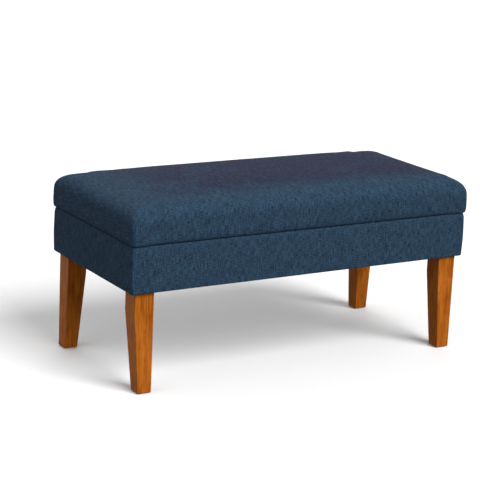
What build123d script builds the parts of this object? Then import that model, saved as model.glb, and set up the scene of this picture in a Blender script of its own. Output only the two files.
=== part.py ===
from build123d import *
import math
import os

# Upholstered storage bench with a hinged, padded lid on four tapered wooden legs.
# Millimetres. +X runs along the bench, -Y is the front, +Z is up.
# The origin is on the floor, under the middle of the bench.

# ---- driving dimensions ----
bench_length = 1016.0
bench_depth = 457.0

leg_height = 263.0
leg_top_width = 53.0
leg_foot_width = 38.0
leg_straight_length = 52.0
leg_inset_x = 15.0
leg_inset_y = 11.0
leg_edge_radius = 1.6

glide_radius = 9.0
glide_thickness = 2.0
glide_nail_radius = 1.2
glide_nail_length = 14.0

box_height = 119.0
box_corner_radius = 6.0
box_edge_radius = 2.5
panel_thickness = 15.0
cloth_thickness = 1.0
batting_thickness = 4.5
cover_turn_under = 70.0
cover_turn_in = 25.0
lining_thickness = 1.2
floor_lining_thickness = 2.0
dust_cloth_thickness = 0.8
dust_cloth_inset = 12.0

seam_gap = 5.0
bumper_height = 4.7
bumper_radius = 5.0

lid_board_inset = 8.0
lid_corner_radius = 20.0
lid_side_bulge = 7.0
lid_bulge_height = 30.0
lid_edge_height = 87.0
lid_roll_width = 45.0
lid_roll_height = 38.0
lid_roll_end_angle = 70.0
lid_crown_height = 25.0
lid_crown_run = 175.0
lid_batting_thickness = 5.0
lid_cloth_turn_under = 45.0
lid_lining_inset = 24.0

hinge_length = 76.0
hinge_knuckles = 5
hinge_knuckle_gap = 0.3
hinge_barrel_radius = 3.2
hinge_pin_radius = 1.5
hinge_running_clearance = 0.05
hinge_sleeve_radius = 2.2
hinge_leaf_thickness = 1.6
hinge_leaf_width = 24.5
hinge_leaf_notch = 0.5
hinge_axis_setback = 3.5
hinge_places = {"left": -360.0, "centre": 0.0, "right": 360.0}
hinge_screw_pitch = 26.0

leg_bolt_radius = 4.0
leg_bolt_in_leg = 45.0
tee_nut_flange_radius = 11.0
tee_nut_flange_thickness = 1.6
tee_nut_barrel_radius = 5.2

wood_screw_radius = 1.9
wood_screw_head_radius = 3.8
wood_screw_head_height = 2.6
hinge_screw_radius = 1.5
hinge_screw_head_radius = 2.9
hinge_screw_head_height = 1.5

staple_crown = 10.0
staple_wire = 0.8
staple_leg = 5.0
staple_pitch = 58.0

# ---- heights and faces worked out from them ----
leg_foot_z = glide_thickness
box_bottom_z = leg_foot_z + leg_height
box_top_z = box_bottom_z + box_height
floor_panel_z = box_bottom_z + cloth_thickness
wall_bottom_z = floor_panel_z + panel_thickness
wall_top_z = box_top_z - cloth_thickness
lid_bottom_z = box_top_z + seam_gap
lid_board_z = lid_bottom_z + cloth_thickness
lid_board_top_z = lid_board_z + panel_thickness

panel_inset = cloth_thickness + batting_thickness
wall_inner_inset = panel_inset + panel_thickness
half_length = bench_length / 2
half_depth = bench_depth / 2
panel_mid_inset = panel_inset + panel_thickness / 2

hinge_axis_y = half_depth + hinge_axis_setback
hinge_axis_z = box_top_z + seam_gap / 2
hinge_screw_y = half_depth - panel_mid_inset


def block(x0, x1, y0, y1, z0, z1):
    """A box between two corners."""
    middle = Pos((x0 + x1) / 2, (y0 + y1) / 2, (z0 + z1) / 2)
    return middle * Box(x1 - x0, y1 - y0, z1 - z0)


def slab(inset, radius, z0, z1):
    """A slab of the bench's outline, drawn in by inset, with rounded corners."""
    width = bench_length - 2 * inset
    depth = bench_depth - 2 * inset
    outline = RectangleRounded(width, depth, radius)
    return Pos(0, 0, z0) * extrude(outline, z1 - z0)


def square_slab(inset, z0, z1):
    """A slab of the bench's outline, drawn in by inset, with square corners."""
    x = half_length - inset
    y = half_depth - inset
    return block(-x, x, -y, y, z0, z1)


def upright_cylinder(radius, x, y, z0, z1):
    return Pos(x, y, (z0 + z1) / 2) * Cylinder(radius, z1 - z0)


def save(name, shape):
    export_step(shape, f"parts/{name}.step")


def save_group(name, solids):
    """Identical small pieces share one file as separate solids."""
    export_step(Compound(children=list(solids)), f"parts/{name}.step")


# ---- screws and staples ----
def countersunk_screw(length, radius, head_radius, head_height):
    """A screw along -Z with the top of its flat head at the origin."""
    head = Pos(0, 0, -head_height / 2) * Cone(radius, head_radius, head_height)
    shank = Pos(0, 0, -length / 2) * Cylinder(radius, length)
    return head + shank


def wood_screw(length):
    return countersunk_screw(
        length, wood_screw_radius, wood_screw_head_radius, wood_screw_head_height
    )


def hinge_screw(length):
    return countersunk_screw(
        length, hinge_screw_radius, hinge_screw_head_radius, hinge_screw_head_height
    )


def staple(x, y, z, along_x):
    """A wire staple driven upwards, its crown lying just under height z."""
    half = staple_crown / 2
    wire = staple_wire
    crown = block(-half, half, -wire / 2, wire / 2, -wire, 0)
    left = block(-half, -half + wire, -wire / 2, wire / 2, 0, staple_leg)
    right = block(half - wire, half, -wire / 2, wire / 2, 0, staple_leg)
    turn = 0 if along_x else 90
    return Pos(x, y, z) * Rot(0, 0, turn) * (crown + left + right)


def spread(reach):
    """Evenly spaced places from -reach to reach, about one staple pitch apart."""
    count = round(2 * reach / staple_pitch)
    return [-reach + 2 * reach * i / count for i in range(count + 1)]


def staple_row(inset, z, corner_clearance):
    """Staples all round the bench, inset from its edge, clear of the corners."""
    x = half_length - inset
    y = half_depth - inset
    staples = []
    for place in spread(x - corner_clearance):
        staples.append(staple(place, -y, z, True))
        staples.append(staple(place, y, z, True))
    for place in spread(y - corner_clearance):
        staples.append(staple(-x, place, z, False))
        staples.append(staple(x, place, z, False))
    return staples


# ---- legs ----
def leg_centre(side_x, side_y):
    x = side_x * (half_length - leg_inset_x - leg_top_width / 2)
    y = side_y * (half_depth - leg_inset_y - leg_top_width / 2)
    return x, y


def foot_centre(side_x, side_y, lean_x, lean_y):
    """The foot stands under the corner of the leg that has the two plumb faces."""
    x, y = leg_centre(side_x, side_y)
    shift = (leg_top_width - leg_foot_width) / 2
    return x + lean_x * shift, y + lean_y * shift


def leg(side_x, side_y, lean_x, lean_y):
    """A square leg: straight under the box, then tapered on two faces."""
    x, y = leg_centre(side_x, side_y)
    foot_x, foot_y = foot_centre(side_x, side_y, lean_x, lean_y)
    knee_z = box_bottom_z - leg_straight_length
    top = Pos(x, y, knee_z) * Rectangle(leg_top_width, leg_top_width)
    foot = Pos(foot_x, foot_y, leg_foot_z) * Rectangle(leg_foot_width, leg_foot_width)
    taper = loft([foot.face(), top.face()], ruled=True)
    straight = extrude(top, leg_straight_length)
    body = taper + straight
    long_edges = body.edges().filter_by(lambda e: e.length > leg_straight_length - 1)
    long_edges = long_edges.filter_by(lambda e: abs(e.tangent_at(0.5).Z) > 0.9)
    body = fillet(long_edges, leg_edge_radius)
    foot_edges = body.faces().sort_by(Axis.Z)[0].edges()
    body = chamfer(foot_edges, 1.2)
    bolt_hole = upright_cylinder(
        leg_bolt_radius, x, y, box_bottom_z - leg_bolt_in_leg, box_bottom_z
    )
    nail_hole = upright_cylinder(
        glide_nail_radius, foot_x, foot_y, leg_foot_z, leg_foot_z + glide_nail_length
    )
    return body - bolt_hole - nail_hole


def leg_bolt(x, y):
    """Hanger bolt: wood thread in the leg, machine thread up into the tee nut."""
    top = wall_bottom_z - 1.0
    bolt = upright_cylinder(leg_bolt_radius, x, y, box_bottom_z - leg_bolt_in_leg, top)
    return chamfer(bolt.edges().sort_by(Axis.Z)[-1], 0.8)


def tee_nut_hole(x, y):
    flange = upright_cylinder(
        tee_nut_flange_radius, x, y, wall_bottom_z - tee_nut_flange_thickness, wall_bottom_z
    )
    barrel = upright_cylinder(tee_nut_barrel_radius, x, y, floor_panel_z, wall_bottom_z)
    return flange + barrel


def tee_nut(x, y):
    bore = leg_bolt_radius + hinge_running_clearance
    return tee_nut_hole(x, y) - upright_cylinder(bore, x, y, floor_panel_z, wall_bottom_z)


def foot_glide(x, y):
    disc = upright_cylinder(glide_radius, x, y, 0, glide_thickness)
    disc = fillet(disc.edges().sort_by(Axis.Z)[0], 0.6)
    nail_top = glide_thickness + glide_nail_length
    return disc + upright_cylinder(glide_nail_radius, x, y, glide_thickness, nail_top)


# The two plumb faces of each leg: +1 or -1 along X and Y.
# Three legs keep their plumb faces outwards; the front left one is screwed in a
# quarter turn round, so its plumb faces look to the front and to the right.
legs = {
    "front_left": (-1, -1, 1, -1),
    "front_right": (1, -1, 1, -1),
    "rear_left": (-1, 1, -1, 1),
    "rear_right": (1, 1, 1, 1),
}


# ---- the box ----
def panel_joint_screws():
    """Screws through the long walls into the ends of the short ones."""
    screws = []
    x = half_length - panel_mid_inset
    y = half_depth - panel_inset
    for side_x in (-1, 1):
        for side_y in (-1, 1):
            for z in (wall_bottom_z + 25, wall_top_z - 25):
                aim = Rot(90 if side_y < 0 else -90, 0, 0)
                screws.append(Pos(side_x * x, side_y * y, z) * aim * wood_screw(38.0))
    return screws


def floor_screws():
    """Screws up through the floor panel into the walls."""
    up = Rot(180, 0, 0)
    x = half_length - panel_mid_inset
    y = half_depth - panel_mid_inset
    screws = []
    for place in (-380.0, -190.0, 0.0, 190.0, 380.0):
        for side in (-1, 1):
            screws.append(Pos(place, side * y, floor_panel_z) * up * wood_screw(40.0))
    for place in (-110.0, 110.0):
        for side in (-1, 1):
            screws.append(Pos(side * x, place, floor_panel_z) * up * wood_screw(40.0))
    return screws


def long_wall(side):
    x = half_length - panel_inset
    near = half_depth - wall_inner_inset
    far = half_depth - panel_inset
    low, high = sorted((side * near, side * far))
    return block(-x, x, low, high, wall_bottom_z, wall_top_z)


def short_wall(side):
    y = half_depth - wall_inner_inset
    near = half_length - wall_inner_inset
    far = half_length - panel_inset
    low, high = sorted((side * near, side * far))
    return block(low, high, -y, y, wall_bottom_z, wall_top_z)


def base_batting():
    """Thin wadding round the outside of the walls, under the cloth."""
    outer = slab(cloth_thickness, box_corner_radius - cloth_thickness, floor_panel_z, wall_top_z)
    return outer - square_slab(panel_inset, floor_panel_z, wall_top_z)


def base_cover():
    """Cloth over the outside, turned in over the rim and turned under the floor."""
    outer = slab(0, box_corner_radius, box_bottom_z, box_top_z)
    rims = outer.faces().filter_by(Axis.Z).edges()
    outer = fillet(rims, box_edge_radius)
    inside = slab(cloth_thickness, box_corner_radius - cloth_thickness, floor_panel_z, wall_top_z)
    mouth = square_slab(wall_inner_inset + cloth_thickness, wall_top_z - 1, box_top_z + 1)
    underside = square_slab(cover_turn_under, box_bottom_z - 1, floor_panel_z + 1)
    drop_z = box_top_z - cover_turn_in
    drop = square_slab(wall_inner_inset, drop_z, box_top_z)
    drop_hole = square_slab(wall_inner_inset + cloth_thickness, drop_z - 1, box_top_z + 1)
    return (outer - inside - mouth - underside) + (drop - drop_hole)


def wall_lining():
    low = wall_bottom_z + floor_lining_thickness
    high = box_top_z - cover_turn_in
    outer = square_slab(wall_inner_inset, low, high)
    return outer - square_slab(wall_inner_inset + lining_thickness, low - 1, high + 1)


def dust_cover():
    """Thin cloth under the floor, cut round the legs."""
    cloth = square_slab(dust_cloth_inset, box_bottom_z - dust_cloth_thickness, box_bottom_z)
    half = leg_top_width / 2 + 1.0
    for side_x, side_y, lean_x, lean_y in legs.values():
        x, y = leg_centre(side_x, side_y)
        edge_x = x + side_x * 2 * half
        edge_y = y + side_y * 2 * half
        x0, x1 = sorted((x - side_x * half, edge_x))
        y0, y1 = sorted((y - side_y * half, edge_y))
        cloth -= block(x0, x1, y0, y1, box_bottom_z - 2, box_bottom_z + 0.5)
    return cloth


def bumper(x, y):
    button = upright_cylinder(bumper_radius, x, y, box_top_z, box_top_z + bumper_height)
    return fillet(button.edges().sort_by(Axis.Z)[-1], 1.5)


# ---- the lid ----
def lid_profile():
    """How far the cushion stands out at each height: sides, roll, then crown."""
    roll_start = lid_edge_height - lid_roll_height
    points = []
    for i in range(4):
        share = i / 3
        out = lid_side_bulge * math.sin(math.pi / 2 * share)
        points.append((lid_bulge_height * share, out))
    for i in range(6):
        angle = math.radians(lid_roll_end_angle * i / 5)
        out = lid_side_bulge - lid_roll_width * (1 - math.cos(angle))
        points.append((roll_start + lid_roll_height * math.sin(angle), out))
    roll_z, roll_out = points[-1]
    for i in range(1, 5):
        share = i / 4
        rise = lid_crown_height * (1 - (1 - share) ** 2)
        points.append((roll_z + rise, roll_out - lid_crown_run * share))
    return points


def lid_form(shrink):
    """The cushion's outer shape, or the shape a layer of shrink below it."""
    sections = []
    for height, out in lid_profile():
        width = bench_length + 2 * (out - shrink)
        depth = bench_depth + 2 * (out - shrink)
        radius = max(lid_corner_radius + out - shrink, 4.0)
        scale_z = 1 - shrink / (lid_edge_height + lid_crown_height)
        z = lid_bottom_z + height * scale_z
        sections.append((Pos(0, 0, z) * RectangleRounded(width, depth, radius)).face())
    return loft(sections, ruled=True)


def lid_board():
    radius = lid_corner_radius - lid_board_inset
    return slab(lid_board_inset, radius, lid_board_z, lid_board_top_z)


def above(shape, z):
    return shape - square_slab(-60, lid_bottom_z - 20, z)


def lid_cover(inside):
    """Cloth skin over the cushion, turned under the board."""
    opening = square_slab(lid_cloth_turn_under, lid_bottom_z - 1, lid_board_z + 1)
    return lid_form(0) - above(inside, lid_board_z) - opening


def lid_lining():
    low = lid_bottom_z - dust_cloth_thickness
    return square_slab(lid_lining_inset, low, lid_bottom_z)


# ---- hinges ----
def knuckle_spans():
    pitch = hinge_length / hinge_knuckles
    spans = []
    for i in range(hinge_knuckles):
        low = -hinge_length / 2 + i * pitch + hinge_knuckle_gap / 2
        spans.append((low, low + pitch - hinge_knuckle_gap))
    return spans


def barrel(radius, x0, x1):
    middle = Pos((x0 + x1) / 2, hinge_axis_y, hinge_axis_z)
    return middle * Rot(0, 90, 0) * Cylinder(radius, x1 - x0)


def hinge_leaf(centre_x, is_lid):
    """A flat leaf with its share of the knuckles, bored for the pin."""
    mine = 1 if is_lid else 0
    bore = hinge_sleeve_radius if is_lid else hinge_pin_radius
    if is_lid:
        z1 = lid_bottom_z
        z0 = z1 - hinge_leaf_thickness
    else:
        z0 = box_top_z
        z1 = z0 + hinge_leaf_thickness
    low_x = centre_x - hinge_length / 2
    high_x = centre_x + hinge_length / 2
    leaf = block(low_x, high_x, hinge_axis_y - hinge_leaf_width, hinge_axis_y, z0, z1)
    clearance = hinge_barrel_radius + hinge_leaf_notch
    notch_y = hinge_axis_y - clearance
    for i, (x0, x1) in enumerate(knuckle_spans()):
        x0 += centre_x
        x1 += centre_x
        if i % 2 == mine:
            leaf += barrel(hinge_barrel_radius, x0, x1)
        else:
            gap = hinge_knuckle_gap
            notch = block(x0 - gap, x1 + gap, notch_y, hinge_axis_y + 1, z0 - 1, z1 + 1)
            leaf -= notch
    leaf -= barrel(bore, low_x - 1, high_x + 1)
    corners = leaf.edges().filter_by(Axis.Z).sort_by(Axis.Y)[:2]
    return fillet(corners, 3.0)


def hinge_pin(centre_x):
    low_x = centre_x - hinge_length / 2
    high_x = centre_x + hinge_length / 2
    shaft = barrel(hinge_pin_radius, low_x - 1.2, high_x + 1.2)
    head = barrel(hinge_barrel_radius - 0.6, low_x - 1.8, low_x - 0.2)
    tip = barrel(hinge_barrel_radius - 0.6, high_x + 0.2, high_x + 1.8)
    return shaft + head + tip


def friction_sleeves(centre_x):
    """Spring sleeves in the lid leaf's knuckles, which grip the pin."""
    sleeves = []
    for i, (x0, x1) in enumerate(knuckle_spans()):
        if i % 2 == 1:
            outer = barrel(hinge_sleeve_radius, centre_x + x0, centre_x + x1)
            inner_radius = hinge_pin_radius + hinge_running_clearance
            sleeves.append(outer - barrel(inner_radius, centre_x + x0, centre_x + x1))
    return sleeves


def hinge_screw_places(centre_x):
    return [centre_x + step * hinge_screw_pitch for step in (-1, 0, 1)]


def base_hinge_screws():
    z = box_top_z + hinge_leaf_thickness
    screws = []
    for centre_x in hinge_places.values():
        for x in hinge_screw_places(centre_x):
            screws.append(Pos(x, hinge_screw_y, z) * hinge_screw(20.0))
    return screws


def lid_hinge_screws():
    z = lid_bottom_z - hinge_leaf_thickness
    screws = []
    for centre_x in hinge_places.values():
        for x in hinge_screw_places(centre_x):
            screws.append(Pos(x, hinge_screw_y, z) * Rot(180, 0, 0) * hinge_screw(13.0))
    return screws


# ---- make every piece ----
os.makedirs("parts", exist_ok=True)

bolts = []
tee_nuts = []
tee_nut_holes = []
glides = []
for corner, stance in legs.items():
    save(f"leg_{corner}", leg(*stance))
    x, y = leg_centre(stance[0], stance[1])
    bolts.append(leg_bolt(x, y))
    tee_nuts.append(tee_nut(x, y))
    tee_nut_holes.append(tee_nut_hole(x, y))
    glides.append(foot_glide(*foot_centre(*stance)))
save_group("leg_bolts", bolts)
save_group("leg_tee_nuts", tee_nuts)
save_group("foot_glides", glides)

joint_screws = panel_joint_screws()
upward_screws = floor_screws()
hinge_down_screws = base_hinge_screws()
hinge_up_screws = lid_hinge_screws()
dust_z = box_bottom_z - dust_cloth_thickness
dust_staples = staple_row(dust_cloth_inset + 6, dust_z, leg_inset_x + leg_top_width + 12)
save_group("wall_screws", joint_screws)
save_group("floor_screws", upward_screws)
save_group("hinge_base_screws", hinge_down_screws)
save_group("hinge_lid_screws", hinge_up_screws)
save_group("dust_cover_staples", dust_staples)

save("front_panel", long_wall(-1) - joint_screws - upward_screws)
save("back_panel", long_wall(1) - joint_screws - upward_screws - hinge_down_screws)
save("left_panel", short_wall(-1) - joint_screws - upward_screws)
save("right_panel", short_wall(1) - joint_screws - upward_screws)
floor_panel = square_slab(panel_inset, floor_panel_z, wall_bottom_z)
save("floor_panel", floor_panel - upward_screws - tee_nut_holes - dust_staples)
bolt_holes = [
    upright_cylinder(tee_nut_barrel_radius, *leg_centre(s[0], s[1]), box_bottom_z - 1, floor_panel_z)
    for s in legs.values()
]
save("base_batting", base_batting())
save("base_cover", base_cover() - bolt_holes - dust_staples - hinge_down_screws)
save("wall_lining", wall_lining())
save("floor_lining", square_slab(
    wall_inner_inset, wall_bottom_z, wall_bottom_z + floor_lining_thickness
))
save("dust_cover", dust_cover() - dust_staples)
bumper_x = half_length - 60
bumper_y = half_depth - panel_mid_inset
save_group("lid_bumpers", [
    bumper(side_x * bumper_x, side_y * bumper_y) for side_x in (-1, 1) for side_y in (-1, 1)
])

for place, centre_x in hinge_places.items():
    save(f"hinge_{place}_base_leaf", hinge_leaf(centre_x, False) - hinge_down_screws)
    save(f"hinge_{place}_lid_leaf", hinge_leaf(centre_x, True) - hinge_up_screws)
    save(f"hinge_{place}_pin", hinge_pin(centre_x))
save_group("hinge_friction_sleeves", [
    sleeve for centre_x in hinge_places.values() for sleeve in friction_sleeves(centre_x)
])

lid_lining_z = lid_bottom_z - dust_cloth_thickness
lid_staples = staple_row(lid_lining_inset + 6, lid_lining_z, 20)
save_group("lid_staples", lid_staples)
board = lid_board()
under_cloth = lid_form(cloth_thickness)
foam = above(lid_form(cloth_thickness + lid_batting_thickness), lid_board_top_z)
save("lid_board", board - hinge_up_screws - lid_staples)
save("lid_foam", foam)
save("lid_batting", above(under_cloth, lid_board_z) - board - foam)
save("lid_cover", lid_cover(under_cloth) - hinge_up_screws - lid_staples)
save("lid_lining", lid_lining() - lid_staples)
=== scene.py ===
import math

import bpy
import numpy as np
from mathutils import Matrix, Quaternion, Vector


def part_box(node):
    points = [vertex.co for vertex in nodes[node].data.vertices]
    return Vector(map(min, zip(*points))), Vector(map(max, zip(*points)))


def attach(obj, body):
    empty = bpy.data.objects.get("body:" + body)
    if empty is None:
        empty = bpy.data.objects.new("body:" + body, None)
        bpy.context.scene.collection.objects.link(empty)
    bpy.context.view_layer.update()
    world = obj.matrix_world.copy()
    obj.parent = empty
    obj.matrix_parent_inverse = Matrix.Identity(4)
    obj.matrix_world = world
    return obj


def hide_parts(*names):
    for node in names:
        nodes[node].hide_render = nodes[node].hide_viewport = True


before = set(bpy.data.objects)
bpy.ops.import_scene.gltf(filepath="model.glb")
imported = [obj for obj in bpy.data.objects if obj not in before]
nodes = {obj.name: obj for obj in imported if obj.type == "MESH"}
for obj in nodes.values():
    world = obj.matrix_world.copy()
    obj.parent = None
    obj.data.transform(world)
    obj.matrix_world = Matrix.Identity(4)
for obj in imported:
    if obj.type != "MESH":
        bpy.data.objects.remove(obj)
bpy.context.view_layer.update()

# An upholstered storage bench: padded lid, cloth-covered box, four stained wooden legs.
# Everything is in metres, in the frame's own axes: +X along the bench, -Y the front, +Z up.

MM = 0.001

# ---- places taken from the frame ----
box_low, box_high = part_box("base_cover")
lid_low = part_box("lid_cover")[0]
board_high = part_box("lid_board")[1]
lining_low, lining_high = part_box("wall_lining")
floor_low, floor_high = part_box("floor_lining")
under_low, under_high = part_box("lid_lining")
dust_low, dust_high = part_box("dust_cover")
HALF_LENGTH = box_high.x
HALF_DEPTH = box_high.y

# ---- the lid cushion's own sizes ----
LID_EDGE_HEIGHT = 88.3 * MM
LID_ROLL_HEIGHT = 38 * MM
LID_ROLL_WIDTH = 45 * MM
LID_CROWN = 15.2 * MM
LID_CROWN_POWERS = (5.2, 2.5)
LID_BULGE = 6.5 * MM
LID_TUCK = 5 * MM
LID_TUCK_HEIGHT = 24 * MM
LID_LIP = 5.2 * MM
LID_LIP_WIDTH = 5.5 * MM
LID_CORNER_RADIUS = 21 * MM
LID_FOOT_RADIUS = 9 * MM
LID_TURN_UNDER = 45 * MM
CLOTH_THICKNESS = 1.0 * MM
CELL = 9.3 * MM
SWELL_CAP = 4 * MM
SWELL_FRAMES = 20
HINGE_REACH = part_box("hinge_right_lid_leaf")[1].x + 30 * MM

# ---- the box's and the linings' own sizes ----
BOX_RIM_INSET = 4.2 * MM
BOX_RIM_DROP = 17 * MM
BOX_INNER_RADIUS = 3 * MM
BOX_FOOT_RADIUS = 3.2 * MM
BOX_FOOT_DROP = 0.8 * MM
BOX_PUFF = 1.0 * MM
BOX_TURN_UNDER = 70 * MM
HEM = 10 * MM


# ---- working by hand in the viewport ----
def start_clean():
    """Back to object mode with nothing selected."""
    active = bpy.context.view_layer.objects.active
    if active and active.mode != "OBJECT":
        bpy.ops.object.mode_set(mode="OBJECT")
    bpy.ops.object.select_all(action="DESELECT")


def take_up(piece):
    """Makes the piece the one selected, active object."""
    start_clean()
    piece.select_set(True)
    bpy.context.view_layer.objects.active = piece


def named(name):
    """Names the object just added and returns it."""
    piece = bpy.context.object
    piece.name = name
    piece.data.name = name
    return piece


def into_mesh(piece):
    """Moves the object's place and size into its mesh."""
    take_up(piece)
    bpy.ops.object.transform_apply(location=True, rotation=True, scale=True)


def edit(piece, mode="VERT"):
    take_up(piece)
    bpy.ops.object.mode_set(mode="EDIT")
    bpy.ops.mesh.select_mode(type=mode)


def add_modifier(piece, kind, **settings):
    """Adds a modifier with its settings and applies it."""
    take_up(piece)
    modifier = piece.modifiers.new(kind.title(), kind)
    for key, value in settings.items():
        setattr(modifier, key, value)
    bpy.ops.object.modifier_apply(modifier=modifier.name)


def points_of(piece):
    found = np.empty(len(piece.data.vertices) * 3)
    piece.data.vertices.foreach_get("co", found)
    return found.reshape(-1, 3)


def put_points(piece, points):
    piece.data.vertices.foreach_set("co", np.asarray(points, float).ravel())
    piece.data.update()


def copy_of(piece, name):
    """A copy with its own mesh."""
    twin = piece.copy()
    twin.data = piece.data.copy()
    twin.name = name
    twin.data.name = name
    bpy.context.scene.collection.objects.link(twin)
    return twin


def keep_faces(piece, wanted):
    """Deletes the faces for which wanted(centre) is false."""
    start_clean()
    for face in piece.data.polygons:
        face.select = not wanted(face.center)
    edit(piece, "FACE")
    bpy.ops.mesh.delete(type="FACE")
    bpy.ops.object.mode_set(mode="OBJECT")


def normals_of(piece):
    return np.array([v.normal for v in piece.data.vertices])


def smooth(piece):
    take_up(piece)
    bpy.ops.object.shade_smooth()


def flip(piece):
    """Turns every face the other way."""
    edit(piece)
    bpy.ops.mesh.select_all(action="SELECT")
    bpy.ops.mesh.flip_normals()
    bpy.ops.object.mode_set(mode="OBJECT")


def smooth_step(value):
    value = np.clip(value, 0.0, 1.0)
    return value * value * (3 - 2 * value)


# ---- finishes ----
def colour(code):
    """An sRGB hex value as the linear RGBA that shaders work in."""
    parts = [int(code[i:i + 2], 16) / 255 for i in (1, 3, 5)]
    linear = [p / 12.92 if p <= 0.04045 else ((p + 0.055) / 1.055) ** 2.4 for p in parts]
    return (*linear, 1.0)


def new_material(name):
    """An empty material and its Principled shader."""
    material = bpy.data.materials.new(name)
    material.use_nodes = True
    tree = material.node_tree
    return material, tree, tree.nodes["Principled BSDF"]


def add(tree, kind, inputs=None, **settings):
    """Adds a shader node, sets it, and fills or links its inputs."""
    made = tree.nodes.new("ShaderNode" + kind)
    for key, value in settings.items():
        setattr(made, key, value)
    for key, value in (inputs or {}).items():
        if isinstance(value, bpy.types.NodeSocket):
            tree.links.new(value, made.inputs[key])
        else:
            made.inputs[key].default_value = value
    return made


def navy_linen_weave():
    """Polyester woven to look like linen: heathered navy yarns, matt, slightly fuzzy.
    The eye gets short pale and dark streaks along both thread directions. Over the back half
    of the top, away from its left end, painted shade and a painted sheen tint make it duller and
    redder."""
    material, tree, shader = new_material("navy_linen_weave")
    thread = 1.6 * MM  # the real 0.9 mm thread is too fine to show, so it is drawn wider
    warp_slub = 24 * MM
    weft_slub = 12 * MM
    patch_size = 90 * MM
    cloud_size = 45 * MM
    cloth = add(tree, "UVMap", uv_map="cloth").outputs["UV"]
    warp_place = add(tree, "Mapping", {"Vector": cloth, "Scale": (1 / thread, 1 / warp_slub, 1)})
    weft_place = add(tree, "Mapping", {"Vector": cloth, "Scale": (1 / weft_slub, 1 / thread, 1)})
    fleck_place = add(tree, "Mapping", {"Vector": cloth, "Scale": (1 / thread, 1 / thread, 1)})
    warp = add(tree, "TexNoise", {"Vector": warp_place.outputs[0], "Scale": 1, "Detail": 1})
    weft = add(tree, "TexNoise", {"Vector": weft_place.outputs[0], "Scale": 1, "Detail": 1})
    fleck = add(tree, "TexNoise", {"Vector": fleck_place.outputs[0], "Scale": 1.1, "Detail": 1})
    yarns = add(tree, "Math", {0: warp.outputs[0], 1: weft.outputs[0]}, operation="ADD")
    soft_fleck = add(tree, "Math", {0: fleck.outputs[0], 1: 0.5}, operation="MULTIPLY")
    mixed = add(tree, "Math", {0: yarns.outputs[0], 1: soft_fleck.outputs[0]}, operation="ADD")
    heather = add(tree, "MapRange", {
        "Value": mixed.outputs[0], "From Min": 0.96, "From Max": 1.55,
    })
    dyed = add(tree, "Mix", {
        "Factor": heather.outputs[0], "A": colour("#111d29"), "B": colour("#344d63"),
    }, data_type="RGBA")
    cloud_place = add(tree, "Mapping", {"Vector": cloth, "Scale": (1 / cloud_size,) * 3})
    cloud = add(tree, "TexNoise", {"Vector": cloud_place.outputs[0], "Scale": 1, "Detail": 2})
    shading = add(tree, "MapRange", {
        "Value": cloud.outputs[0], "From Min": 0.3, "From Max": 0.7,
        "To Min": 0.9, "To Max": 1.05,
    })
    tone = add(tree, "Mix", {
        "Factor": 1.0, "A": dyed.outputs["Result"], "B": shading.outputs[0],
    }, data_type="RGBA", blend_type="MULTIPLY")
    place = add(tree, "TexCoord").outputs["Object"]
    spot = add(tree, "SeparateXYZ", {0: place})
    # Painted shade and a painted sheen tint: over the back half of the lid's top, away from its
    # left end, the cloth is multiplied by a pale mauve.
    patch = add(tree, "TexNoise", {"Vector": place, "Scale": 1 / patch_size, "Detail": 4})
    high = add(tree, "MapRange", {
        "Value": spot.outputs["Z"], "From Min": 0.473, "From Max": 0.485,
    }, interpolation_type="SMOOTHSTEP")
    far_back = add(tree, "MapRange", {
        "Value": spot.outputs["Y"], "From Min": -0.19, "From Max": -0.10,
    }, interpolation_type="SMOOTHSTEP")
    left = add(tree, "MapRange", {
        "Value": spot.outputs["X"], "From Min": -0.47, "From Max": -0.28,
    }, interpolation_type="SMOOTHSTEP")
    ragged = add(tree, "MapRange", {
        "Value": patch.outputs[0], "From Min": 0.3, "From Max": 0.6,
        "To Min": 0.5, "To Max": 1.1,
    })
    raised = add(tree, "Math", {0: high.outputs[0], 1: far_back.outputs[0]}, operation="MULTIPLY")
    sheen_shade_area = add(tree, "Math", {0: raised.outputs[0], 1: left.outputs[0]}, operation="MULTIPLY")
    painted_sheen_shade_mask = add(tree, "Math", {0: sheen_shade_area.outputs[0], 1: ragged.outputs[0]}, operation="MULTIPLY")
    # This pale mauve mix paints shade and a sheen tint onto the top of the lid.
    rubbed_wear_and_painted_sheen = add(tree, "Mix", {
        "Factor": painted_sheen_shade_mask.outputs[0], "A": colour("#ffffff"), "B": colour("#fac8d4"),
    }, data_type="RGBA")
    sheen_shade_tinted = add(tree, "Mix", {
        "Factor": 1.0, "A": tone.outputs["Result"], "B": rubbed_wear_and_painted_sheen.outputs["Result"],
    }, data_type="RGBA", blend_type="MULTIPLY")
    tree.links.new(sheen_shade_tinted.outputs["Result"], shader.inputs["Base Color"])
    waves = add(tree, "VectorMath", {
        0: cloth, 1: (2 * math.pi / thread, 2 * math.pi / thread, 0),
    }, operation="MULTIPLY")
    crossings = add(tree, "VectorMath", {0: waves.outputs[0]}, operation="SINE")
    split = add(tree, "SeparateXYZ", {0: crossings.outputs[0]})
    over = add(tree, "Math", {0: split.outputs["X"], 1: split.outputs["Y"]}, operation="MULTIPLY")
    weave = add(tree, "Math", {0: over.outputs[0], 1: 0.3}, operation="MULTIPLY")
    relief = add(tree, "Math", {0: weave.outputs[0], 1: mixed.outputs[0]}, operation="ADD")
    bump = add(tree, "Bump", {"Height": relief.outputs[0], "Strength": 0.5, "Distance": 0.5 * MM})
    tree.links.new(bump.outputs[0], shader.inputs["Normal"])
    shader.inputs["Roughness"].default_value = 0.92
    shader.inputs["Specular IOR Level"].default_value = 0.08
    shader.inputs["Sheen Weight"].default_value = 0.03
    shader.inputs["Sheen Roughness"].default_value = 0.45
    shader.inputs["Sheen Tint"].default_value = colour("#c0a9c6")
    return material


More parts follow.
